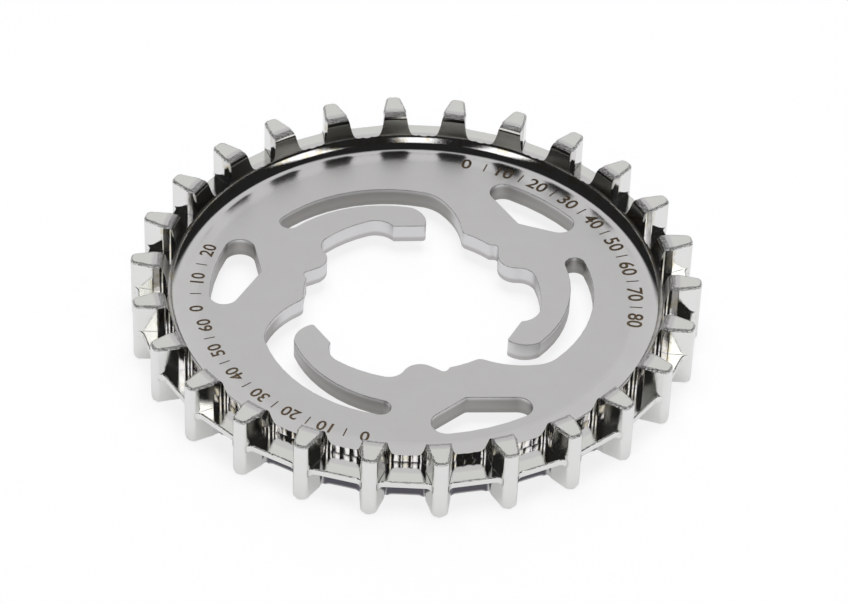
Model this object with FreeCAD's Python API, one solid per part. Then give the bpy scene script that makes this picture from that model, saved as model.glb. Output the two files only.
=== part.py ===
import FreeCAD, Part
import math
import os

# Belt drive sprocket: one piece of machined stainless steel, lying flat.
# Millimetres. Z is the axis of rotation, pointing out of the front face, and the
# origin is on the axis, level with the back ends of the teeth. One tooth points to +X.

V = FreeCAD.Vector
ORIGIN = V(0, 0, 0)
AXIS = V(0, 0, 1)
LEFT = 1
RIGHT = -1

# Driving dimensions

# Belt and teeth
tooth_count = 26
belt_pitch = 11.0            # measured along the cords of the belt
cord_height = 1.02           # the cords run this far outside the tips of the teeth
rim_width = 10.9             # length of the teeth along the axis
tip_edge_radius = 0.9        # rounding from a flank to the tip
flank_angle = 12.4           # lean of each flank towards the tooth's centre line
tooth_waist = 3.79           # across the flanks where they meet the sides of the slots
waist_depth = 3.57           # from the tips down to that place

# Slot between two teeth, on each side of the fin
front_root_depth = 5.9       # from the tips down to the root of the front slots
front_root_turn = 38.0       # its outer parts turn this far towards the sides
front_root_middle = 2.6      # width of its middle part
front_floor_slope = 1.0      # from the fin up to the root and the sides
back_root_depth = 5.1

# Centre fin that keeps the belt on its track
fin_thickness = 1.1
fin_depth = 1.3              # from the tips down to the fin's edge, in the middle of a gap
fin_corner_radius = 1.1      # where that edge runs out into the flanks

# Plate and the two recesses turned beside it
back_recess_depth = 2.3
plate_thickness = 3.3
front_sweep_radius = 2.6     # hollow sweep from the plate up to the inner faces of the teeth
front_face_depth = 6.23      # from the tips to the foot of those faces, level with the plate
front_face_lean = 13.0       # the inner faces lean outwards
tooth_inner_rounding = 1.3   # over the inner top edge of the teeth
back_wall = 2.8              # from the root of a back slot to the back recess
back_fillet = 1.6
sweep_steps = 3              # short cones that make up the sweep
rounding_steps = 2           # and each of the two roundings

# Opening for the hub: seat arcs, and beside each a lug, a pocket, an arm and a slot
lobes = 3
pattern_turn = 0.5           # from the tooth on +X to the line that these sizes start from
seat_radius = 17.5           # short arcs that centre the plate on the hub
seat_nose_radius = 1.3       # where a seat arc runs out into a slot
pocket_depth = 2.2           # from the seat arcs out to the floor of a pocket
pocket_far_corner = 3.45
pocket_near_corner = 2.61
lug_side = (7.76, 90.0)      # straight walls are given by their distance from the axis
lug_flank = (12.85, 0.0)     # and by the direction in which that distance is measured
lug_nose_radius = 2.82       # nose of the lug that takes the torque
notch_step = (13.25, 90.0)   # step from the lug out to the next seat arc
notch_corner = 0.7
notch_lip_radius = 0.4

# Curved slot behind each arm, wider at its mouth than at its closed end
slot_outer_centre = (4.88, 1.88)
slot_outer_radius = 23.10
slot_inner_centre = (4.12, 3.14)
slot_inner_radius = 20.24
slot_end_angle = 20.0        # closed end, about the centre of the outer wall
slot_mouth_centre = (16.23, -1.63)
slot_mouth_step = 9.25       # the mouth's radius is this much smaller than the outer wall's
slot_mouth_corner = 5.4

# Free end of each arm
arm_tip_centre = (17.16, -6.61)
arm_tip_radius = 4.11
arm_tip_outer_corner = 1.2
arm_tip_inner_corner = 0.5
arm_flat = (17.22, -25.5)    # flat that lies beside the hub
arm_ledge = (8.3, -78.5)     # short ledge from the flat out to the pocket
arm_ledge_corner = 0.4

# Lightening hole beside each lug
hole_outer_radius = 32.15
hole_wall_a = (22.76, 73.0)
hole_wall_b = (23.79, 33.4)
hole_end_a_share = 0.256     # radius of each end, as a share of the hole's depth there
hole_end_b_share = 0.269
hole_knee_radius = 0.8

# Sizes that follow from them
pitch_angle = 360.0 / tooth_count
tip_radius = tooth_count * belt_pitch / (2 * math.pi) - cord_height
fin_edge_distance = tip_radius - fin_depth
fin_bottom = (rim_width - fin_thickness) / 2
fin_top = (rim_width + fin_thickness) / 2
plate_bottom = back_recess_depth
plate_top = plate_bottom + plate_thickness
back_recess_radius = tip_radius - back_root_depth - back_wall
pocket_radius = seat_radius + pocket_depth
face_foot = tip_radius - front_face_depth
face_slope = math.tan(math.radians(front_face_lean))
margin = 1.0                 # cutters run this far past the metal


def unit(degrees):
    a = math.radians(degrees)
    return V(math.cos(a), math.sin(a), 0)


def turned(point, degrees):
    return unit(degrees) * point.x + unit(degrees + 90) * point.y


def bow(a, middle, b):
    return Part.Arc(a, middle, b).toShape()


# Walls of an outline: circles and straight lines, each with a direction of travel

class Circle:
    """A circle travelled anticlockwise (turn is LEFT) or clockwise (turn is RIGHT)."""

    def __init__(self, centre, radius, turn=LEFT):
        self.centre = V(centre[0], centre[1], 0)
        self.radius = radius
        self.turn = turn

    def moved_left(self, distance):
        return Circle(self.centre, self.radius - self.turn * distance, self.turn)

    def nearest(self, point):
        out = point - self.centre
        return self.centre + out * (self.radius / out.Length)

    def heading(self, point):
        return AXIS.cross(point - self.centre) * (self.turn / self.radius)

    def edge(self, a, b):
        start = math.atan2(a.y - self.centre.y, a.x - self.centre.x)
        end = math.atan2(b.y - self.centre.y, b.x - self.centre.x)
        sweep = self.turn * (self.turn * (end - start) % (2 * math.pi))
        middle = self.centre + unit(math.degrees(start + sweep / 2)) * self.radius
        return bow(a, middle, b)


class Line:
    """A straight line travelled from its first point towards its second."""

    def __init__(self, a, b):
        self.point = V(a[0], a[1], 0)
        self.along = (V(b[0], b[1], 0) - self.point).normalize()

    def moved_left(self, distance):
        point = self.point + AXIS.cross(self.along) * distance
        return Line(point, point + self.along)

    def reversed(self):
        return Line(self.point, self.point - self.along)

    def nearest(self, point):
        return self.point + self.along * (point - self.point).dot(self.along)

    def heading(self, point):
        return self.along

    def edge(self, a, b):
        return Part.LineSegment(a, b).toShape()


def wall_at(distance, degrees, turn=LEFT):
    """Straight wall travelled anticlockwise (LEFT) or clockwise (RIGHT) about the axis."""
    foot = unit(degrees) * distance
    return Line(foot, foot + unit(degrees + 90) * turn)


def crossings(one, two):
    """The one or two points that two walls share."""
    if isinstance(one, Line) and isinstance(two, Line):
        gap = two.point - one.point
        reach = gap.cross(two.along).z / one.along.cross(two.along).z
        return [one.point + one.along * reach]
    if isinstance(two, Line):
        one, two = two, one
    if isinstance(one, Line):
        foot = one.nearest(two.centre)
        reach = math.sqrt(two.radius ** 2 - (foot - two.centre).Length ** 2)
        return [foot + one.along * reach, foot - one.along * reach]
    gap = two.centre - one.centre
    along = (gap.Length ** 2 + one.radius ** 2 - two.radius ** 2) / (2 * gap.Length)
    reach = math.sqrt(one.radius ** 2 - along ** 2)
    direction = gap * (1 / gap.Length)
    foot = one.centre + direction * along
    side = AXIS.cross(direction)
    return [foot + side * reach, foot - side * reach]


def corner(one, two, radius, side):
    """Rounding from one wall into the next one, bending LEFT or RIGHT."""
    inside = side * radius
    for centre in crossings(one.moved_left(inside), two.moved_left(inside)):
        bend = one.heading(one.nearest(centre)).cross(two.heading(two.nearest(centre)))
        if bend.z * side > 0:
            return Circle(centre, radius, side)


def slot_end(outer, inner, degrees):
    """Round closed end between two curved walls, at an angle about the outer centre."""
    gap = outer.centre - inner.centre
    reach = outer.radius + inner.radius
    out = (reach ** 2 - gap.Length ** 2) / (2 * (gap.dot(unit(degrees)) + reach))
    return Circle(outer.centre + unit(degrees) * out, outer.radius - out, LEFT)


def run(walls, corners, turn=0):
    """Edges along a run of walls, each followed by its corner.

    The run's end meets its own start again when turned about the axis by the angle."""
    last = corners[-1]
    point = turned(walls[0].nearest(last.centre), -turn) if turn else walls[0].nearest(last.centre)
    edges = []
    for i, rounding in enumerate(corners):
        leave = walls[i].nearest(rounding.centre)
        arrive = walls[(i + 1) % len(walls)].nearest(rounding.centre)
        edges.append(walls[i].edge(point, leave))
        edges.append(rounding.edge(leave, arrive))
        point = arrive
    return edges


def around(shapes, copies, start=0.0):
    """The shapes repeated evenly around the axis, from a starting angle."""
    ring = []
    for k in range(copies):
        for shape in shapes:
            ring.append(shape.rotated(ORIGIN, AXIS, start + k * 360.0 / copies))
    return ring


def prism(edges, bottom, top):
    """Solid inside a closed outline, between two heights."""
    face = Part.Face(Part.Wire(edges))
    face.translate(V(0, 0, bottom))
    return face.extrude(V(0, 0, top - bottom))


# Teeth, drawn around a gap that lies on +X

def waist(side):
    """Where the tooth beside the gap is widest; side is 1 at +Y and -1 at -Y."""
    tooth_line = unit(side * pitch_angle / 2)
    return tooth_line * (tip_radius - waist_depth) - AXIS.cross(tooth_line) * (side * tooth_waist / 2)


def flank(side):
    """Flank of that tooth, travelled anticlockwise around the slot."""
    inward = unit(side * (pitch_angle / 2 + flank_angle)) * -side
    return Line(waist(side), waist(side) + inward)


def disc():
    """Toothed disc with the fin's edge between the teeth, along the whole width."""
    tip = Circle(ORIGIN, tip_radius)
    edge = wall_at(fin_edge_distance, 0)
    low, high = flank(-1).reversed(), flank(1).reversed()
    corners = [
        corner(tip, low, tip_edge_radius, LEFT),
        corner(low, edge, fin_corner_radius, RIGHT),
        corner(edge, high, fin_corner_radius, RIGHT),
        corner(high, tip, tip_edge_radius, LEFT),
    ]
    gap = run([tip, low, edge, high], corners, pitch_angle)
    return prism(around(gap, tooth_count, pitch_angle / 2), 0, rim_width)


def slot(root, floor, end):
    """Space between two teeth, from the fin's face at the floor out past the teeth's end."""
    mouth = wall_at(tip_radius + margin, 0)
    high = Line(waist(1), waist(1) - V(1, 0, 0))
    low = Line(waist(-1), waist(-1) - V(1, 0, 0))
    walls = [mouth, flank(1), high] + root + [low, flank(-1)]
    points = [crossings(wall, walls[i - 1])[0] for i, wall in enumerate(walls)]
    return prism(Part.makePolygon(points + points[:1]).Edges, floor, end)


def edges_at(solid, height):
    level = []
    for edge in solid.Edges:
        box = edge.BoundBox
        if max(abs(box.ZMin - height), abs(box.ZMax - height)) < 1e-6:
            level.append(edge)
    return level


def slots():
    root = tip_radius - front_root_depth
    end = V(root, front_root_middle / 2, 0)
    other_end = V(root, -front_root_middle / 2, 0)
    upper = Line(end, end + unit(90 - front_root_turn))
    lower = Line(other_end, other_end + unit(front_root_turn - 90))
    front = slot([upper, wall_at(root, 0), lower], fin_top, rim_width + margin)
    front = front.makeChamfer(front_floor_slope, edges_at(front, fin_top))
    back = slot([wall_at(tip_radius - back_root_depth, 0)], fin_bottom, -margin)
    return around([front, back], tooth_count, pitch_angle / 2)


# The blank, turned before the teeth are cut: x is the radius and y the height

def stepped(one, two, radius, side, steps):
    """Points of the rounding between two walls, so that it is turned as short cones."""
    centre = corner(one, two, radius, side).centre
    start = one.nearest(centre) - centre
    end = two.nearest(centre) - centre
    bend = side * math.degrees(start.getAngle(end))
    return [centre + turned(start, bend * i / steps) for i in range(steps + 1)]


def section():
    """Half section of the disc with both recesses."""
    back = Line((0, plate_bottom), (1, plate_bottom))
    recess_wall = Line((back_recess_radius, 1), (back_recess_radius, 0))
    ends = Line((1, rim_width), (0, rim_width))
    inner_face = Line((face_foot, plate_top), (face_foot - face_slope, plate_top - 1))
    front = Line((1, plate_top), (0, plate_top))
    return [
        V(0, plate_bottom, 0),
        *stepped(back, recess_wall, back_fillet, RIGHT, rounding_steps),
        V(back_recess_radius, 0, 0),
        V(tip_radius, 0, 0),
        V(tip_radius, rim_width, 0),
        *stepped(ends, inner_face, tooth_inner_rounding, LEFT, rounding_steps),
        *stepped(inner_face, front, front_sweep_radius, RIGHT, sweep_steps),
        V(0, plate_top, 0),
        V(0, plate_bottom, 0),
    ]


def blank():
    outline = Part.makePolygon([V(point.x, 0, point.y) for point in section()])
    return Part.Face(outline).revolve(ORIGIN, AXIS, 360)


# Openings in the plate, drawn anticlockwise around the space

def hub_opening():
    seat = Circle(ORIGIN, seat_radius)
    mouth = Circle(slot_mouth_centre, slot_outer_radius - slot_mouth_step)
    slot_outer = Circle(slot_outer_centre, slot_outer_radius)
    slot_inner = Circle(slot_inner_centre, slot_inner_radius, RIGHT)
    tip = Circle(arm_tip_centre, arm_tip_radius, RIGHT)
    flat = wall_at(*arm_flat)
    ledge = wall_at(*arm_ledge)
    pocket = Circle(ORIGIN, pocket_radius)
    side = wall_at(*lug_side)
    face = wall_at(*lug_flank)
    step = wall_at(*notch_step)
    walls = [seat, mouth, slot_outer, slot_inner, tip, flat, ledge, pocket, side, face, step]
    corners = [
        corner(seat, mouth, seat_nose_radius, RIGHT),
        corner(mouth, slot_outer, slot_mouth_corner, LEFT),
        slot_end(slot_outer, slot_inner, slot_end_angle),
        corner(slot_inner, tip, arm_tip_outer_corner, RIGHT),
        corner(tip, flat, arm_tip_inner_corner, RIGHT),
        corner(flat, ledge, arm_ledge_corner, RIGHT),
        corner(ledge, pocket, pocket_far_corner, LEFT),
        corner(pocket, side, pocket_near_corner, LEFT),
        corner(side, face, lug_nose_radius, RIGHT),
        corner(face, step, notch_corner, LEFT),
        corner(step, seat, notch_lip_radius, RIGHT),
    ]
    return around(run(walls, corners, 360.0 / lobes), lobes)


def lightening_hole():
    outer = Circle(ORIGIN, hole_outer_radius)
    wall_a = wall_at(*hole_wall_a, RIGHT)
    wall_b = wall_at(*hole_wall_b, RIGHT)
    end_a_radius = hole_end_a_share * (hole_outer_radius - hole_wall_a[0])
    end_b_radius = hole_end_b_share * (hole_outer_radius - hole_wall_b[0])
    corners = [
        corner(outer, wall_b, end_b_radius, LEFT),
        corner(wall_b, wall_a, hole_knee_radius, LEFT),
        corner(wall_a, outer, end_a_radius, LEFT),
    ]
    return run([outer, wall_b, wall_a], corners)


def openings():
    cutters = [prism(hub_opening(), plate_bottom, plate_top)]
    cutters += around([prism(lightening_hole(), plate_bottom, plate_top)], lobes)
    return [cutter.rotated(ORIGIN, AXIS, pattern_turn) for cutter in cutters]


def main():
    os.makedirs("parts", exist_ok=True)
    sprocket = blank().common(disc()).cut(slots()).cut(openings())
    print("solids", len(sprocket.Solids), "valid", sprocket.isValid())
    print("faces", len(sprocket.Faces), "volume mm3", round(sprocket.Volume, 1))
    sprocket.exportStep("parts/sprocket.step")


main()
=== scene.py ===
# %% [markdown]
# # A belt drive sprocket in Blender
#
# The real sprocket is one piece of stainless steel. Such a piece is turned, its teeth are
# milled, the openings of its plate are cut, and then it is tumbled. The CAD model is the fixed
# frame. It has the main forms, but its small edges are sharp. This lesson makes the same
# sprocket in the order of the workshop, with the fine roundings, and gives it its finishes.
#
# Sizes are written in millimetres. There was no drawing to copy: they were worked out from one
# photograph, so they are estimates. Blender works in metres, so each mesh is scaled once, when
# it is made.

# %% The frame
import cmath
import math
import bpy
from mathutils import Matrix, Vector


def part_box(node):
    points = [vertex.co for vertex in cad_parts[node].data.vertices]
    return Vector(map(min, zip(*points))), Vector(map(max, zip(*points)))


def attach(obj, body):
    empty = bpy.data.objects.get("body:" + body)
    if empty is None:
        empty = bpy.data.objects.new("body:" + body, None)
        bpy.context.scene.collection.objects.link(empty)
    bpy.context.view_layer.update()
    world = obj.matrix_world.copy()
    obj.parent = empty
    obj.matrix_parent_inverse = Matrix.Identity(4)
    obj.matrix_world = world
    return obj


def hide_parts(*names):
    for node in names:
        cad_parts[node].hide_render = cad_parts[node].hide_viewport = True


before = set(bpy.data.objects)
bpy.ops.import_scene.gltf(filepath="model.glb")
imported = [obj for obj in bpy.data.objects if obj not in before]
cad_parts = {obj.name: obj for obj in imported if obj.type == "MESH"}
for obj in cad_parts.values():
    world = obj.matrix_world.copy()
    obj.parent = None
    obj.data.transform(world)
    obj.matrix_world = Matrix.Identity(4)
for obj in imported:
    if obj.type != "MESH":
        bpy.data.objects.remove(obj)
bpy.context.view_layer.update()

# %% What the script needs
from types import SimpleNamespace

import bmesh
import bpy
from mathutils import Matrix, Vector

MM = 0.001
LEFT, RIGHT = 1, -1
low_corner, high_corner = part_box("sprocket")
rim_width = high_corner.z / MM
tip_radius = max(high_corner.x, -low_corner.x) / MM
print("tip radius", round(tip_radius, 3), "mm, width", round(rim_width, 3), "mm")

# %% [markdown]
# ## Sizes
#
# The frame gives the overall size. What it can't give by name is written here once, as it was
# judged from the photograph. A straight wall is given by its distance from the axis and by the
# direction in which that distance is measured.

# %% Sizes of the rim
tooth_count = 26
tip_rounding = 0.9
flank_angle = 12.4
tooth_waist = 3.79
waist_depth = 3.57
waist_rounding = 0.6
front_root_depth, back_root_depth = 5.9, 5.1
flute_width, flute_radius = 1.5, 5.0
front_floor_fillet, back_floor_fillet = 0.08, 0.45
front_root_corner, back_root_corner = 1.3, 1.2
fin_front_rounding, fin_back_rounding = 0.25, 0.08
fin_width, fin_depth = 1.1, 1.3
fin_bottom, fin_top = (rim_width - fin_width) / 2, (rim_width + fin_width) / 2
fin_corner = 1.1
front_end_rounding, back_end_rounding, back_tip_rounding = 0.42, 0.65, 0.3
pitch_angle = 360.0 / tooth_count
print("pitch:", round(pitch_angle, 3), "degrees, foot of the fin at", round(fin_bottom, 3), "mm")

# %% Sizes of the plate
plate_bottom, plate_top = 2.3, 5.6
rim_wall, back_fillet = 2.8, 1.6
back_recess_radius = tip_radius - back_root_depth - rim_wall
face_depth, face_lean = 6.23, 13.0
face_foot = tip_radius - face_depth
front_sweep, inner_rounding = 2.6, 1.3
back_rounding, front_rounding = 0.35, 0.09
stock_radius, lathe_rounding = 14.0, 0.12
print("back recess:", round(back_recess_radius, 3), "mm in radius")

# %% Sizes of the openings
lobes, pattern_turn = 3, 0.5
seat_radius, pocket_radius = 17.5, 19.7
mouth_centre, mouth_radius = 16.23 - 1.63j, 13.85
slot_outer_centre, slot_outer_radius = 4.88 + 1.88j, 23.10
slot_inner_centre, slot_inner_radius = 4.12 + 3.14j, 20.24
slot_end_bearing = 20.0
arm_tip_centre, arm_tip_radius = 17.16 - 6.61j, 4.11
arm_flat_at, arm_ledge_at = (17.22, -25.5), (8.3, -78.5)
lug_side_at, lug_face_at, lug_step_at = (7.76, 90), (12.85, 0), (13.25, 90)
hole_outer_radius = 32.15
hole_side_a_at, hole_side_b_at = (22.76, 73.0), (23.79, 33.4)
print("plate:", round(plate_top - plate_bottom, 3), "mm thick, seat:", 2 * seat_radius, "mm across")

# %% [markdown]
# ## Outlines from walls
#
# Every outline here is a chain of straight walls and arcs. They could be typed as lists of
# points, but then no size could be changed and no rounding would be exact. So a wall is a small
# object that knows which way it is travelled, and a corner is the circle that touches two walls.
# Points of the plan are complex numbers, which makes a turn about the axis one multiplication.

# %% Walls
def unit(degrees):
    return cmath.exp(1j * math.radians(degrees))


class Circle:
    def __init__(self, centre, radius, turn=LEFT):
        self.centre, self.radius, self.turn = centre, radius, turn

    def moved_left(self, distance):
        return Circle(self.centre, self.radius - self.turn * distance, self.turn)

    def nearest(self, point):
        out = point - self.centre
        return self.centre + out * self.radius / abs(out)

    def heading(self, point):
        return 1j * self.turn * (point - self.centre) / self.radius

    def samples(self, start, end, parts=0):
        """Points of the arc with the direction into the metal, which lies on the right."""
        ratio = (end - self.centre) / (start - self.centre)
        sweep = self.turn * (self.turn * cmath.phase(ratio) % (2 * math.pi))
        parts = parts or max(2, math.ceil(abs(math.degrees(sweep)) / 6))
        for i in range(parts):
            out = (start - self.centre) * cmath.exp(1j * sweep * i / parts)
            yield self.centre + out, out * self.turn / self.radius


class Line:
    def __init__(self, point, along):
        self.point, self.along = point, along / abs(along)

    def moved_left(self, distance):
        return Line(self.point + 1j * self.along * distance, self.along)

    def nearest(self, point):
        return self.point + self.along * ((point - self.point) / self.along).real

    def heading(self, point):
        return self.along

    def samples(self, start, end, parts=1):
        for i in range(parts):
            yield start + (end - start) * i / parts, -1j * self.along


def wall_at(distance, degrees, turn=LEFT):
    """A straight wall travelled anticlockwise (LEFT) or clockwise (RIGHT) about the axis."""
    return Line(unit(degrees) * distance, unit(degrees) * 1j * turn)


# %% Corners
def crossings(one, two):
    if isinstance(one, Line) and isinstance(two, Line):
        gap = (two.point - one.point) / one.along
        slope = two.along / one.along
        return [one.point + one.along * (gap.real - gap.imag * slope.real / slope.imag)]
    if isinstance(two, Line):
        one, two = two, one
    if isinstance(one, Line):
        foot = one.nearest(two.centre)
        reach = math.sqrt(two.radius ** 2 - abs(foot - two.centre) ** 2)
        return [foot + one.along * reach, foot - one.along * reach]
    gap = two.centre - one.centre
    along = (abs(gap) ** 2 + one.radius ** 2 - two.radius ** 2) / (2 * abs(gap))
    reach = math.sqrt(one.radius ** 2 - along ** 2)
    foot = one.centre + gap / abs(gap) * along
    side = 1j * gap / abs(gap) * reach
    return [foot + side, foot - side]


def corner(one, two, radius, side):
    """The rounding from one wall into the next, bending LEFT or RIGHT."""
    for centre in crossings(one.moved_left(side * radius), two.moved_left(side * radius)):
        turn = two.heading(two.nearest(centre)) / one.heading(one.nearest(centre))
        if turn.imag * side > 0:
            return Circle(centre, radius, side)


def chain(walls, corners, turn=0.0):
    """Samples along the walls, each followed by its corner. The chain ends where its own
    start comes, turned about the axis by the angle."""
    point = walls[0].nearest(corners[-1].centre) * unit(-turn)
    found = []
    for i, rounding in enumerate(corners):
        leave = walls[i].nearest(rounding.centre)
        arrive = walls[(i + 1) % len(walls)].nearest(rounding.centre)
        found += walls[i].samples(point, leave)
        found += rounding.samples(leave, arrive)
        point = arrive
    return found


# %% [markdown]
# ## Solids from outlines
#
# A cutter is an outline stacked at several heights. Where the real edge is rounded, each level
# of the stack is a little wider or narrower than the one below. Because every sample of the
# outline knows the direction into the metal, that offset is exact even round the corners. A
# Bevel modifier could round the edges as well, but it narrows its width wherever two edges are
# close together, and this outline has many short arcs.

# %% Stacks and turned rings
def new_piece(name, points, faces):
    mesh = bpy.data.meshes.new(name)
    mesh.from_pydata([Vector(p) * MM for p in points], [], faces)
    mesh.validate()
    piece = bpy.data.objects.new(name, mesh)
    bpy.context.scene.collection.objects.link(piece)
    return piece


def ring_faces(rings, count, closed=False):
    faces = []
    for level in range(rings if closed else rings - 1):
        above = (level + 1) % rings
        for i in range(count):
            j = (i + 1) % count
            faces.append((level * count + i, level * count + j, above * count + j, above * count + i))
    return faces


def stack(name, levels):
    """A closed solid of levels, each an outline, its height and its offset into the metal."""
    points = []
    for outline, height, offset in levels:
        for point, out in outline:
            place = point + out * offset
            points.append((place.real, place.imag, height))
    count, rings = len(levels[0][0]), len(levels)
    faces = ring_faces(rings, count)
    faces.append(tuple(reversed(range(count))))
    faces.append(tuple(range((rings - 1) * count, rings * count)))
    return new_piece(name, points, faces)


def quarter(radius, steps=6):
    """(sine, versed sine) pairs of a quarter round, scaled to its radius."""
    for i in range(steps + 1):
        angle = math.pi / 2 * i / steps
        yield radius * math.sin(angle), radius * (1 - math.cos(angle))


# %% [markdown]
# ## The blank
#
# The lathe gives the blank its section: the flat plate, the shallow recess behind it, and in
# front the deep recess, whose sweep climbs to the inner faces of the teeth. The section is a
# closed chain of walls in the plane of radius and height, and it is turned about the axis. A
# lathe leaves no point on the axis here, because the middle of the plate is cut away later.

# %% The section
def section():
    lean = unit(90 - face_lean)
    floor_line = Line(complex(0, plate_bottom), 1)
    recess_wall = Line(complex(back_recess_radius, 0), -1j)
    back_line = Line(0j, 1)
    rim_line = Line(complex(tip_radius, 0), 1j)
    front_line = Line(complex(0, rim_width), -1)
    inner_face = Line(complex(face_foot, plate_top), -lean)
    plate_line = Line(complex(0, plate_top), -1)
    stock_line = Line(complex(stock_radius, 0), -1j)
    walls = [floor_line, recess_wall, back_line, rim_line, front_line, inner_face, plate_line,
             stock_line]
    corners = [
        corner(floor_line, recess_wall, back_fillet, RIGHT),
        corner(recess_wall, back_line, lathe_rounding, LEFT),
        corner(back_line, rim_line, back_tip_rounding, LEFT),
        corner(rim_line, front_line, front_end_rounding, LEFT),
        corner(front_line, inner_face, inner_rounding, LEFT),
        corner(inner_face, plate_line, front_sweep, RIGHT),
        corner(plate_line, stock_line, lathe_rounding, LEFT),
        corner(stock_line, floor_line, lathe_rounding, LEFT),
    ]
    return [point for point, out in chain(walls, corners)]


def turned_blank(steps):
    profile = section()
    points = []
    for k in range(steps):
        direction = unit(360.0 * k / steps)
        for place in profile:
            points.append((direction.real * place.real, direction.imag * place.real, place.imag))
    faces = [tuple(reversed(face)) for face in ring_faces(steps, len(profile), closed=True)]
    return new_piece("turned_blank", points, faces)


blank = turned_blank(steps=tooth_count * 16)
print("blank:", len(blank.data.polygons), "faces")

# %% [markdown]
# ## The gap between two teeth
#
# Three cuts make a gap. One goes through from end to end and leaves the teeth and the edge of
# the centre fin. The other two go in from each end as far as the fin. They are deeper, so the
# teeth stand free as posts beside the fin. The root of the front one is made straight, with
# three shallow hollows side by side, because that puts its glints where the photograph has
# them. It is a reading and not a certainty: the bright land before the root ends in a round arch
# in the photograph, and with this form its border stays angular.

# %% Walls of a gap on +X
corner_parts, plain_parts = 7, 6


def waist(side):
    tooth_line = unit(side * pitch_angle / 2)
    return tooth_line * (tip_radius - waist_depth - 1j * side * tooth_waist / 2)


def flank(side):
    """Travelled anticlockwise round the gap: inwards at +Y and outwards at -Y."""
    return Line(waist(side), -side * unit(side * (pitch_angle / 2 + flank_angle)))


def tooth_mouth(side, reach=3.0):
    """The tip of the tooth beside the gap, and a straight way out past it."""
    tips = Circle(0j, tip_radius, RIGHT)
    one, two = (tips, flank(side)) if side > 0 else (flank(side), tips)
    touch = corner(one, two, tip_rounding, RIGHT)
    top = touch.centre / abs(touch.centre)
    return touch, top * tip_radius, top * (tip_radius + reach)


def gap_outline(inner_walls, inner_corners, root, root_parts=plain_parts):
    """Closed outline of one cut: out past the tips, in along a flank, round the inner walls.

    The root is the one inner wall that is sampled in more than one part."""
    high_touch, high_top, high_out = tooth_mouth(1)
    low_touch, low_top, low_out = tooth_mouth(-1)
    high, low = flank(1), flank(-1)
    walls = [high] + inner_walls + [low]
    found = [(high_out, 1j * high_out / abs(high_out))]
    found += high_touch.samples(high_top, high.nearest(high_touch.centre), parts=corner_parts)
    point = high.nearest(high_touch.centre)
    for i, rounding in enumerate(inner_corners):
        leave = walls[i].nearest(rounding.centre)
        arrive = walls[i + 1].nearest(rounding.centre)
        found += walls[i].samples(point, leave, parts=root_parts if walls[i] is root else 1)
        found += rounding.samples(leave, arrive, parts=corner_parts)
        point = arrive
    found += low.samples(point, low.nearest(low_touch.centre))
    found += low_touch.samples(low.nearest(low_touch.centre), low_top, parts=corner_parts)
    found.append((low_top, -1j * low_top / abs(low_top)))
    found.append((low_out, -1j * low_out / abs(low_out)))
    return found


# %% The root of a front slot
class Fluted(Circle):
    """A nearly straight wall with shallow hollows side by side, as a plunging cutter leaves."""

    def samples(self, start, end, parts=0):
        for point, out in super().samples(start, end, parts):
            off_middle = point.imag - flute_width * round(point.imag / flute_width)
            yield point - out * off_middle ** 2 / (2 * flute_radius), out


# %% The three cutters of a gap
past, root_margin = 2.0, 0.4
nearly_straight, fluted_parts = 80.0, 36


def fin_outline(depth):
    edge = wall_at(tip_radius - depth, 0, RIGHT)
    return gap_outline([edge], [
        corner(flank(1), edge, fin_corner, LEFT),
        corner(edge, flank(-1), fin_corner, LEFT),
    ], edge)


def slot_outline(root, rounding, root_parts=plain_parts):
    side_in, side_out = Line(waist(1), -1), Line(waist(-1), 1)
    return gap_outline([side_in, root, side_out], [
        corner(flank(1), side_in, waist_rounding, RIGHT),
        corner(side_in, root, rounding, LEFT),
        corner(root, side_out, rounding, LEFT),
        corner(side_out, flank(-1), waist_rounding, RIGHT),
    ], root, root_parts)


def rounded_end(outline, height, radius, side):
    """Levels that widen a cutter over the ends of the teeth; side is 1 in front and -1 behind.

    The root keeps its place, so only the flanks are rounded over."""
    root_reach = tip_radius - back_root_depth + root_margin
    outline = [(point, out if abs(point) > root_reach else 0) for point, out in outline]
    levels = [(outline, height - side * (radius - across), wide)
              for across, wide in quarter(radius, steps=4)]
    return levels + [(outline, height + side * past, radius)]


def fin_side(height, radius, side):
    """Levels that round the fin's edge over towards one of its faces."""
    levels = [(fin_outline(fin_depth + wide), height - side * (radius - across), 0)
              for across, wide in quarter(radius, steps=5)]
    return levels + [(fin_outline(fin_depth + radius), height + side * (rim_width + past), 0)]


def middle_of(radius, depth):
    return tip_radius - depth + radius


front_shape = slot_outline(Fluted(middle_of(nearly_straight, front_root_depth), nearly_straight),
                           front_root_corner, fluted_parts)
back_shape = slot_outline(Circle(middle_of(nearly_straight, back_root_depth), nearly_straight),
                          back_root_corner)
fin_levels = fin_side(fin_bottom, fin_back_rounding, -1)[::-1]
fin_levels += fin_side(fin_top, fin_front_rounding, 1)
front_levels = [(front_shape, fin_top + low, across - front_floor_fillet)
                for across, low in quarter(front_floor_fillet, steps=3)]
front_levels += rounded_end(front_shape, rim_width, front_end_rounding, 1)
back_levels = [(back_shape, fin_bottom - low, across - back_floor_fillet)
               for across, low in quarter(back_floor_fillet)]
back_levels += rounded_end(back_shape, 0, back_end_rounding, -1)
fin_cutter = stack("fin_cutter", fin_levels)
front_cutter = stack("front_slot_cutter", front_levels)
back_cutter = stack("back_slot_cutter", back_levels[::-1])
for cutter in (fin_cutter, front_cutter, back_cutter):
    print(cutter.name + ":", len(cutter.data.polygons), "faces")

# %% [markdown]
# ## The openings of the plate
#
# The hub opening has three equal parts. In each of them, a short arc centres the plate on the
# hub, a lug takes the torque, and an arm reaches back past a curved slot. The three openings
# beside the lugs only save weight. A punch or a laser leaves one edge of a plate softer than the
# other, so the back edge has the wider rounding.

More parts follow.
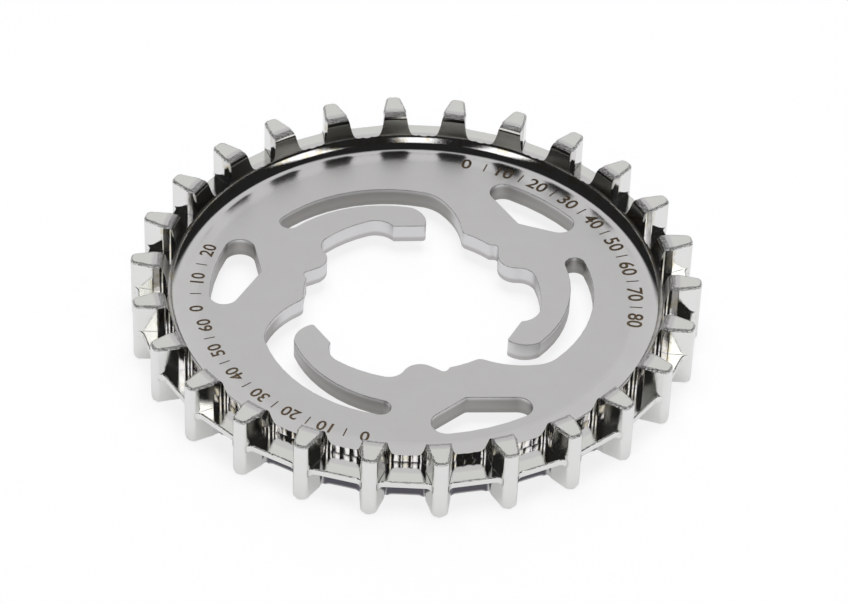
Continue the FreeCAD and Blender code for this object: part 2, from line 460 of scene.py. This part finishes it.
# %% Outlines of the openings
def hub_outline():
    seat = Circle(0j, seat_radius)
    mouth = Circle(mouth_centre, mouth_radius)
    slot_outer = Circle(slot_outer_centre, slot_outer_radius)
    slot_inner = Circle(slot_inner_centre, slot_inner_radius, RIGHT)
    tip = Circle(arm_tip_centre, arm_tip_radius, RIGHT)
    flat, ledge = wall_at(*arm_flat_at), wall_at(*arm_ledge_at)
    pocket = Circle(0j, pocket_radius)
    lug_side, lug_face, step = wall_at(*lug_side_at), wall_at(*lug_face_at), wall_at(*lug_step_at)
    # the slot's end is the circle that touches both of its walls at the given bearing
    gap = slot_outer.centre - slot_inner.centre
    reach = slot_outer.radius + slot_inner.radius
    end_way = unit(slot_end_bearing)
    end_out = (reach ** 2 - abs(gap) ** 2) / (2 * ((gap * end_way.conjugate()).real + reach))
    slot_end = Circle(slot_outer.centre + end_way * end_out, slot_outer.radius - end_out)
    walls = [seat, mouth, slot_outer, slot_inner, tip, flat, ledge, pocket, lug_side, lug_face, step]
    corners = [
        corner(seat, mouth, 1.3, RIGHT),
        corner(mouth, slot_outer, 5.4, LEFT),
        slot_end,
        corner(slot_inner, tip, 1.2, RIGHT),
        corner(tip, flat, 0.5, RIGHT),
        corner(flat, ledge, 0.4, RIGHT),
        corner(ledge, pocket, 3.45, LEFT),
        corner(pocket, lug_side, 2.61, LEFT),
        corner(lug_side, lug_face, 2.82, RIGHT),
        corner(lug_face, step, 0.7, LEFT),
        corner(step, seat, 0.4, RIGHT),
    ]
    third = chain(walls, corners, 360.0 / lobes)
    turns = [unit(pattern_turn + k * 360.0 / lobes) for k in range(lobes)]
    return [(point * turn, out * turn) for turn in turns for point, out in third]


def hole_outline():
    outer = Circle(0j, hole_outer_radius)
    wall_a, wall_b = wall_at(*hole_side_a_at, RIGHT), wall_at(*hole_side_b_at, RIGHT)
    corners = [
        corner(outer, wall_b, 2.25, LEFT),
        corner(wall_b, wall_a, 0.8, LEFT),
        corner(wall_a, outer, 2.40, LEFT),
    ]
    turn = unit(pattern_turn)
    outline = chain([outer, wall_b, wall_a], corners)
    return [(point * turn, out * turn) for point, out in outline]


def opening_levels(outline):
    back = [(plate_bottom + back_rounding - across, wide)
            for across, wide in quarter(back_rounding, steps=4)]
    front = [(plate_top - front_rounding + across, wide)
             for across, wide in quarter(front_rounding, steps=3)]
    levels = ([(plate_bottom - past, back_rounding)] + back[::-1] + front
              + [(plate_top + past, front_rounding)])
    return [(outline, height, offset) for height, offset in levels]


hub_cutter = stack("hub_opening_cutter", opening_levels(hub_outline()))
hole_cutter = stack("hole_cutter", opening_levels(hole_outline()))
print("opening cutters:", len(hub_cutter.data.polygons), len(hole_cutter.data.polygons), "faces")

# %% [markdown]
# ## Numbers on the plate
#
# A laser has marked the plate with a scale of plain numbers, and has turned the steel brown
# there. Painted numbers would need a picture. Here each number is a small text object, made a
# thin solid that reaches a hair's breadth into the plate. Cutting it leaves a floor just under
# the face, and the finish finds that floor by its height.

# %% A scale of numbers and ticks
mark_depth = 0.02
mark_height = 0.5
tick_share, tick_lift, stroke_share = 0.62, 0.2, 0.018
# bearings of the first and last mark, radius at the foot of the numbers, their size, steps
number_arcs = [
    (78.0, -6.0, 33.4, 3.4, 16),
    (189.0, 165.0, 33.3, 3.0, 4),
    (259.0, 196.0, 32.6, 3.0, 12),
]


def number_mesh(text, size):
    curve = bpy.data.curves.new("number", "FONT")
    curve.body = text
    curve.size = size
    curve.align_x, curve.align_y = "CENTER", "BOTTOM_BASELINE"
    curve.resolution_u = 3
    curve.offset = size * stroke_share
    curve.extrude = mark_height / 2
    piece = bpy.data.objects.new("number", curve)
    bpy.context.scene.collection.objects.link(piece)
    graph = bpy.context.evaluated_depsgraph_get()
    mesh = bpy.data.meshes.new_from_object(piece.evaluated_get(graph))
    bpy.data.objects.remove(piece)
    bpy.data.curves.remove(curve)
    return mesh


def scale_marks(gather, first, last, radius, size, count):
    """Numbers, with a tick after each, read with the outside up."""
    for k in range(count + 1):
        bearing = first + (last - first) * k / count
        is_tick = k % 2
        text = "|" if is_tick else str(k // 2 * 10)
        mesh = number_mesh(text, size * tick_share if is_tick else size)
        place = unit(bearing) * (radius + size * tick_lift * is_tick)
        height = plate_top - mark_depth + mark_height / 2
        turn = Matrix.Rotation(math.radians(bearing - 90), 4, "Z")
        mesh.transform(Matrix.Translation((place.real, place.imag, height)) @ turn)
        mesh.transform(Matrix.Scale(MM, 4))
        gather.from_mesh(mesh)
        bpy.data.meshes.remove(mesh)


def mark_cutter():
    gather = bmesh.new()
    for arc in number_arcs:
        scale_marks(gather, *arc)
    bmesh.ops.remove_doubles(gather, verts=gather.verts, dist=1e-7)
    bmesh.ops.recalc_face_normals(gather, faces=gather.faces)
    open_edges = [edge for edge in gather.edges if len(edge.link_faces) != 2]
    mesh = bpy.data.meshes.new("mark_cutter")
    gather.to_mesh(mesh)
    gather.free()
    print("marks:", len(mesh.polygons), "faces,", len(open_edges), "open edges")
    piece = bpy.data.objects.new("mark_cutter", mesh)
    bpy.context.scene.collection.objects.link(piece)
    return piece


marks = mark_cutter()

# %% [markdown]
# ## Cutting round the axis with Geometry Nodes
#
# The same gap comes 26 times, and a lightening hole three times. Geometry Nodes put a copy of
# each cutter at every step round the axis, and one Mesh Boolean takes them all out of the blank.
# The counts are inputs of the tree, so a sprocket with other teeth needs no new nodes.

# %% A tree that cuts copies of each cutter
def cutting_tree(cutter_names):
    tree = bpy.data.node_groups.new("cut_round_the_axis", "GeometryNodeTree")
    face = tree.interface
    face.new_socket("Blank", in_out="INPUT", socket_type="NodeSocketGeometry")
    face.new_socket("Steel", in_out="INPUT", socket_type="NodeSocketMaterial")
    for name in cutter_names:
        face.new_socket(name + " cutter", in_out="INPUT", socket_type="NodeSocketObject")
        face.new_socket(name + " count", in_out="INPUT", socket_type="NodeSocketInt")
    face.new_socket("Cut", in_out="OUTPUT", socket_type="NodeSocketGeometry")

    def node(kind, **settings):
        made = tree.nodes.new(kind)
        for key, value in settings.items():
            setattr(made, key, value)
        return made

    inputs, outputs = node("NodeGroupInput"), node("NodeGroupOutput")
    index = node("GeometryNodeInputIndex")
    cut = node("GeometryNodeMeshBoolean", operation="DIFFERENCE", solver="MANIFOLD")
    tree.links.new(inputs.outputs["Blank"], cut.inputs[0])
    for name in cutter_names:
        shape = node("GeometryNodeObjectInfo")
        spots = node("GeometryNodePoints")
        copies = node("GeometryNodeInstanceOnPoints")
        part = node("ShaderNodeMath", operation="DIVIDE")
        angle = node("ShaderNodeMath", operation="MULTIPLY")
        about_z = node("ShaderNodeCombineXYZ")
        real = node("GeometryNodeRealizeInstances")
        angle.inputs[1].default_value = 2 * math.pi
        count = inputs.outputs[name + " count"]
        tree.links.new(inputs.outputs[name + " cutter"], shape.inputs["Object"])
        tree.links.new(count, spots.inputs["Count"])
        tree.links.new(index.outputs[0], part.inputs[0])
        tree.links.new(count, part.inputs[1])
        tree.links.new(part.outputs[0], angle.inputs[0])
        tree.links.new(angle.outputs[0], about_z.inputs["Z"])
        tree.links.new(spots.outputs[0], copies.inputs["Points"])
        tree.links.new(shape.outputs["Geometry"], copies.inputs["Instance"])
        tree.links.new(about_z.outputs[0], copies.inputs["Rotation"])
        tree.links.new(copies.outputs[0], real.inputs[0])
        tree.links.new(real.outputs[0], cut.inputs["Mesh 2"])
    real_last = node("GeometryNodeRealizeInstances")
    steel = node("GeometryNodeSetMaterial")
    tree.links.new(cut.outputs[0], real_last.inputs[0])
    tree.links.new(real_last.outputs[0], steel.inputs["Geometry"])
    tree.links.new(inputs.outputs["Steel"], steel.inputs["Material"])
    tree.links.new(steel.outputs[0], outputs.inputs["Cut"])
    return tree


def cut_blank(blank, cutters, material):
    """cutters: name to (object, count)."""
    tree = cutting_tree(list(cutters))
    modifier = blank.modifiers.new("cuts", "NODES")
    modifier.node_group = tree
    sockets = {item.name: item.identifier for item in tree.interface.items_tree}
    modifier[sockets["Steel"]] = material
    for name, (cutter, count) in cutters.items():
        modifier[sockets[name + " cutter"]] = cutter
        modifier[sockets[name + " count"]] = count
    graph = bpy.context.evaluated_depsgraph_get()
    mesh = bpy.data.meshes.new_from_object(blank.evaluated_get(graph))
    blank.modifiers.clear()
    return mesh


steel = bpy.data.materials.new("sprocket_steel")
cutters = {
    "Fin": (fin_cutter, tooth_count),
    "Front slot": (front_cutter, tooth_count),
    "Back slot": (back_cutter, tooth_count),
    "Hub opening": (hub_cutter, 1),
    "Lightening hole": (hole_cutter, lobes),
    "Mark": (marks, 1),
}
# a gap is drawn on +X, and a tooth points there, so the gaps are turned by half a pitch
for cutter in (fin_cutter, front_cutter, back_cutter):
    cutter.data.transform(Matrix.Rotation(math.radians(pitch_angle / 2), 4, "Z"))
sprocket_mesh = cut_blank(blank, cutters, steel)
print("cut:", len(sprocket_mesh.vertices), "points", len(sprocket_mesh.polygons), "faces")

# %% [markdown]
# ## One clean mesh
#
# The result of the cuts becomes the sprocket, and the tools are put away. Its flat faces have
# many corners and touch the roundings without an edge. Plain smooth shading would bend the
# light over the flats, so the normals are weighted by the area of the faces: the flats stay
# flat, and only the roundings turn. Edges that are really sharp are marked first.

# %% The sprocket
def put_away(*pieces):
    for piece in pieces:
        mesh = piece.data
        bpy.data.objects.remove(piece)
        bpy.data.meshes.remove(mesh)


def finished_piece(name, mesh, sharp_degrees):
    mesh.name = name
    mesh.polygons.foreach_set("use_smooth", [True] * len(mesh.polygons))
    mesh.set_sharp_from_angle(angle=math.radians(sharp_degrees))
    piece = bpy.data.objects.new(name, mesh)
    bpy.context.scene.collection.objects.link(piece)
    weights = piece.modifiers.new("weights", "WEIGHTED_NORMAL")
    weights.mode = "FACE_AREA"
    weights.weight = 100
    weights.keep_sharp = True
    return piece


put_away(blank, fin_cutter, front_cutter, back_cutter, hub_cutter, hole_cutter, marks)
sprocket = finished_piece("sprocket_steel_body", sprocket_mesh, sharp_degrees=32.0)
print("sprocket:", sum(len(face.vertices) - 2 for face in sprocket.data.polygons), "triangles")

# %% [markdown]
# ## Shader maths in Python
#
# The finish changes over the surface: satin on the flats, polished in the hollows, brown where
# the plate was marked with heat. Each rule is a sum of masks. A small class lets these masks be
# written as Python expressions, and each operation adds its Math node to the material.

# %% A wrapper for sockets
class Value:
    def __init__(self, graph, socket):
        self.graph, self.socket = graph, socket

    def maths(self, operation, *others):
        return self.graph.add("ShaderNodeMath", {"operation": operation}, self, *others)

    def __add__(self, other):
        return self.maths("ADD", other)

    def __sub__(self, other):
        return self.maths("SUBTRACT", other)

    def __rsub__(self, other):
        return self.graph.add("ShaderNodeMath", {"operation": "SUBTRACT"}, other, self)

    def __mul__(self, other):
        return self.maths("MULTIPLY", other)

    def __truediv__(self, other):
        return self.maths("DIVIDE", other)

    __radd__, __rmul__ = __add__, __mul__


class Graph:
    def __init__(self, tree):
        self.tree = tree
        tree.nodes.clear()

    def add(self, kind, settings=None, *values, out=0, **named):
        node = self.tree.nodes.new(kind)
        for key, setting in (settings or {}).items():
            setattr(node, key, setting)
        slots = list(enumerate(values)) + [(key.replace("_", " "), v) for key, v in named.items()]
        for key, value in slots:
            if isinstance(value, Value):
                self.tree.links.new(value.socket, node.inputs[key])
            else:
                node.inputs[key].default_value = value
        return Value(self, node.outputs[out]) if node.outputs else node

    def split(self, vector):
        """The three components of a vector."""
        first = self.add("ShaderNodeSeparateXYZ", {}, vector)
        return [Value(self, socket) for socket in first.socket.node.outputs]

    def between(self, value, low, high, soft):
        """1 where the value lies between the two limits, with soft ends."""
        rise = self.add("ShaderNodeMapRange", {"interpolation_type": "SMOOTHSTEP"}, value,
                        low - soft, low + soft)
        fall = self.add("ShaderNodeMapRange", {"interpolation_type": "SMOOTHSTEP"}, value,
                        high - soft, high + soft)
        return rise * (1 - fall)

    def mix(self, factor, first, second):
        node = self.tree.nodes.new("ShaderNodeMix")
        node.data_type = "RGBA"
        for socket, value in zip((node.inputs[0], node.inputs[6], node.inputs[7]),
                                 (factor, first, second)):
            if isinstance(value, Value):
                self.tree.links.new(value.socket, socket)
            else:
                socket.default_value = value
        return Value(self, node.outputs[2])


# %% [markdown]
# ## Where each finish lies
#
# The satin flats have a fine, even grain that blurs reflections. The hollows between the teeth
# and the sweep of the recess are almost a mirror, because the tumbling stones don't reach them.
# The edges that the stones do hit are nicked. The cut walls of the openings carry a painted
# shade, deepest at their foot, for the shadowed floor that they mirror, and the inner faces of
# the teeth a painted shade for the dark room that they mirror. An image could be painted for all
# this, but the sprocket is round and flat, so a mask needs only the radius and the height of a
# point. Both are taken in the object's own coordinates, so the finish stays put from every side.

# %% Zones by radius and height
outside = tip_radius + past
sweep_start, plate_edge, hub_edge = face_foot - 2.0, face_foot - 1.6, 10.0
tooth_foot, fin_edge = tip_radius - 3.4, tip_radius - fin_depth
root_band, wall_band = (38.8, 40.0), (37.6, 41.4)
slot_wall_band = (seat_radius + 4.5, 34.0)
number_foot = 32.5
hair = 0.012


def steel_masks(g, radius, z):
    """Each mask is 1 where its finish lies and 0 elsewhere. The last number is its soft end."""
    in_slots = g.between(z, fin_top - 0.3, rim_width - 0.2, 0.1) + (
        g.between(z, 0.3, fin_bottom + 0.1, 0.1))
    on_plate = g.between(radius, hub_edge, plate_edge, 0.1)
    plate_edges = g.between(z, plate_top - front_rounding, plate_top - hair, 0.004) * on_plate
    tooth_ends = g.between(z, rim_width - front_end_rounding, rim_width - hair, 0.01) * (
        g.between(radius, sweep_start, outside, 0.2))
    fin_rim = g.between(z, fin_top - fin_front_rounding, fin_top - hair, 0.01) * (
        g.between(radius, fin_edge - 0.4, fin_edge - hair, 0.01))
    mask = SimpleNamespace()
    mask.polished = in_slots * g.between(radius, sweep_start, tip_radius - 0.8, 0.25)
    mask.nicked = plate_edges + tooth_ends + fin_rim
    mask.tooth = g.between(radius, tooth_foot, outside, 0.3)
    mask.worn = g.between(radius, face_foot - 4.0, face_foot - 0.5, 0.8)
    mask.shaded_root = g.between(radius, *root_band, 0.2) * g.between(z, 0.2, fin_bottom, 0.2)
    mask.slot_side = g.between(z, fin_top + 0.2, rim_width - 0.6, 0.1) * (
        g.between(radius, *wall_band, 0.2))
    # painted shade: the inner faces of the teeth are darkened for the dark room that they mirror
    mask.inner_face = g.between(radius, face_foot - 1.0, face_foot + 1.5, 0.3) * (
        g.between(z, plate_top + 1.8, rim_width - 0.4, 0.4))
    # painted shade: the foot of every cut wall is darkened for the shadowed floor that it mirrors
    mask.cut_foot = g.between(z, plate_bottom - 0.2, plate_bottom + 1.0, 0.35) * on_plate
    # painted shade: the cut walls of the slots and holes are darkened for the shadowed floor they
    # mirror
    mask.cut_wall = g.between(z, plate_bottom - 0.2, plate_top - 0.5, 0.35) * (
        g.between(radius, *slot_wall_band, 1.5))
    mask.number = g.between(radius, number_foot, plate_edge, 0.05) * (
        g.between(z, plate_top - 1.6 * mark_depth, plate_top - 0.4 * mark_depth, 0.1 * mark_depth))
    print("masks:", ", ".join(vars(mask)))
    return mask


# %% [markdown]
# ## Colour and gloss of the steel
#
# One metal covers the whole sprocket, and only its tint and its roughness change. Several
# materials would leave hard borders where the real finish fades. Four noises break the finish
# up: a cloud for the flats, spots for the straw tint that heat left beside the slots, a grain
# for the satin and nicks for the edges. Grain and nicks also go through a Bump node, so the
# edges glint in points and not in one clean line.

# %% Colours of the steel
flat_grey_dark, flat_grey_pale = (0.70, 0.69, 0.685, 1), (0.765, 0.757, 0.757, 1)
tooth_grey = (0.83, 0.83, 0.80, 1)
heat_straw = (0.60, 0.54, 0.36, 1)
# painted shade for the inner faces of the teeth, which mirror a dark room
inner_face_shade_grey = (0.28, 0.28, 0.25, 1)
shaded_root_grey = (0.13, 0.12, 0.15, 1)
# painted shade for the cut walls of the openings and for their foot
cut_foot_grey = (0.34, 0.32, 0.30, 1)
cut_wall_grey = (0.30, 0.29, 0.27, 1)
laser_brown = (0.27, 0.195, 0.12, 1)
satin_roughness, mirror_roughness = 0.27, 0.05


def steel_colour(g, mask, cloud, spots):
    straw = g.add("ShaderNodeMapRange", {}, spots, 0.48, 0.62)
    colour = g.mix(cloud, flat_grey_dark, flat_grey_pale)
    for share, tint in (
        (mask.tooth, tooth_grey),
        (mask.slot_side * straw * 0.6, heat_straw),
        # painted shade on the inner faces of the teeth
        (mask.inner_face * 0.9, inner_face_shade_grey),
        (mask.shaded_root * 0.95, shaded_root_grey),
        # painted shade at the foot of the cut walls
        (mask.cut_foot * 0.55, cut_foot_grey),
        # painted shade on the cut walls of the slots and holes
        (mask.cut_wall * 0.8, cut_wall_grey),
        (mask.number, laser_brown),
    ):
        colour = g.mix(share, colour, tint)
    return colour


def steel_roughness(mask, grain, cloud):
    satin = satin_roughness - 0.13 * mask.tooth - 0.15 * mask.worn + 0.08 * grain + 0.06 * cloud
    return satin * (1 - mask.polished) + mirror_roughness * mask.polished + 0.12 * mask.nicked


# %% The steel
def sprocket_finish(material):
    material.use_nodes = True
    g = Graph(material.node_tree)
    place = g.add("ShaderNodeTexCoord", out=3)
    x, y, z = (part / MM for part in g.split(place))
    radius = g.add("ShaderNodeMath", {"operation": "SQRT"}, x * x + y * y)
    grain = g.add("ShaderNodeTexNoise", {}, Vector=place, Scale=9000.0, Detail=3.0)
    cloud = g.add("ShaderNodeTexNoise", {}, Vector=place, Scale=260.0, Detail=2.0)
    spots = g.add("ShaderNodeTexNoise", {}, Vector=place, Scale=700.0, Detail=2.0)
    nicks = g.add("ShaderNodeTexNoise", {}, Vector=place, Scale=2600.0, Detail=2.0)
    mask = steel_masks(g, radius, z)
    bump = g.add("ShaderNodeBump", {}, Strength=1.0, Distance=0.0001,
                 Height=0.06 * grain + 4.0 * mask.nicked * (nicks - 0.5))
    shader = g.add("ShaderNodeBsdfPrincipled", {}, Metallic=1.0, Normal=bump,
                   Base_Color=steel_colour(g, mask, cloud, spots),
                   Roughness=steel_roughness(mask, grain, cloud))
    g.add("ShaderNodeOutputMaterial", {}, Surface=shader)
    print("steel:", len(g.tree.nodes), "nodes")


sprocket_finish(steel)
sprocket.data.materials.clear()
sprocket.data.materials.append(steel)

# %% [markdown]
# ## The studio
#
# Polished steel shows nothing but the room, so the room is drawn for it. A pale wall stands
# behind the sprocket, where the level flats reflect it towards the camera. Three light boxes
# stand in front and give the streaks in the sweep of the recess. The rest is nearly black,
# because hollows without something dark to show would look like white plastic. Area lamps
# could be the boxes too, but in the world's own shader their edges are plain angles. One lamp
# hangs over the floor. It keeps the paper white and gives the soft shadow, and the steel
# doesn't mirror it.

# %% Camera
photo_width, sensor_width = 848, 36.0
focal_pixels = 3749.0
eye = Vector((5.3, -447.3, 385.1)) * MM
aim = Vector((1.4, -0.7, 5.0)) * MM
roll = math.radians(2.19)


def add_camera():
    data = bpy.data.cameras.new("camera")
    data.sensor_width = sensor_width
    data.lens = sensor_width * focal_pixels / photo_width
    data.clip_start, data.clip_end = 0.01, 50
    camera = bpy.data.objects.new("camera", data)
    bpy.context.scene.collection.objects.link(camera)
    turn = (aim - eye).to_track_quat("-Z", "Y").to_matrix().to_4x4()
    camera.matrix_world = Matrix.Translation(eye) @ turn @ Matrix.Rotation(roll, 4, "Z")
    bpy.context.scene.camera = camera
    print("camera:", round((eye - aim).length, 3), "m away, lens", round(data.lens, 1), "mm")


add_camera()

# %% Floor
floor_half = 3.0
paper_white = (0.87, 0.88, 0.92, 1)
paper_glow, glow_to_camera, glow_in_steel = 1.08, 0.75, 0.4


def add_floor():
    edge = floor_half
    mesh = bpy.data.meshes.new("floor")
    mesh.from_pydata([(-edge, -edge, 0), (edge, -edge, 0), (edge, edge, 0), (-edge, edge, 0)],
                     [], [(0, 1, 2, 3)])
    floor = bpy.data.objects.new("floor", mesh)
    bpy.context.scene.collection.objects.link(floor)
    paper = bpy.data.materials.new("white_paper")
    paper.use_nodes = True
    g = Graph(paper.node_tree)
    seen = g.add("ShaderNodeLightPath", out=0)
    mirrored = g.add("ShaderNodeLightPath", out=3)
    matt = g.add("ShaderNodeBsdfDiffuse", {}, Color=paper_white)
    glow = g.add("ShaderNodeEmission", {}, Color=(1, 1, 1, 1), Strength=paper_glow)
    share = seen * glow_to_camera + mirrored * glow_in_steel
    blend = g.add("ShaderNodeMixShader", {}, share, matt, glow)
    g.add("ShaderNodeOutputMaterial", {}, Surface=blend)
    mesh.materials.append(paper)
    print("floor:", 2 * floor_half, "m wide")


add_floor()

# %% Room
degrees = 180 / math.pi
far_wall_half, far_wall_low, far_wall_high, far_wall_level = 42.0, -10.0, 68.0, 0.69
light_boxes = [(-39.0, 9.0), (2.0, 8.0), (57.0, 10.0)]  # bearing and half width
box_low, box_high, box_level = 18.0, 54.0, 1.6
dark_level = 0.02


def add_room():
    world = bpy.data.worlds.new("room")
    bpy.context.scene.world = world
    world.use_nodes = True
    g = Graph(world.node_tree)
    x, y, z = g.split(g.add("ShaderNodeTexCoord", out=0))
    height = g.add("ShaderNodeMath", {"operation": "ARCSINE"}, z) * degrees
    bearing = g.add("ShaderNodeMath", {"operation": "ARCTAN2"}, x, y * -1) * degrees
    far_bearing = g.add("ShaderNodeMath", {"operation": "ARCTAN2"}, x, y) * degrees
    wall = g.between(far_bearing, -far_wall_half, far_wall_half, 5.0) * (
        g.between(height, far_wall_low, far_wall_high, 5.0))
    boxes = sum(g.between(bearing, middle - half, middle + half, 1.5)
                for middle, half in light_boxes)
    boxes = boxes * g.between(height, box_low, box_high, 2.0)
    level = wall * far_wall_level + boxes * box_level + dark_level
    seen = g.add("ShaderNodeLightPath", out=0)
    room = g.add("ShaderNodeBackground", {}, Color=(1, 1, 1, 1), Strength=level * (1 - seen) + seen)
    g.add("ShaderNodeOutputWorld", {}, Surface=room)
    print("room:", len(light_boxes), "light boxes,", len(g.tree.nodes), "nodes")


add_room()

# %% The lamp over the floor
def add_floor_light(height, size, power):
    data = bpy.data.lights.new("floor_light", "AREA")
    data.size = size
    data.energy = power
    lamp = bpy.data.objects.new("floor_light", data)
    bpy.context.scene.collection.objects.link(lamp)
    lamp.location = (0, 0, height)
    lamp.visible_glossy = False
    print("lamp:", power, "W at", height, "m")


add_floor_light(height=0.9, size=0.6, power=5.2)
bpy.context.scene.view_settings.view_transform = "Standard"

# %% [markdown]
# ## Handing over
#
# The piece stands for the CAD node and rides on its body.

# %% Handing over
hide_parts("sprocket")
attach(sprocket, "root")
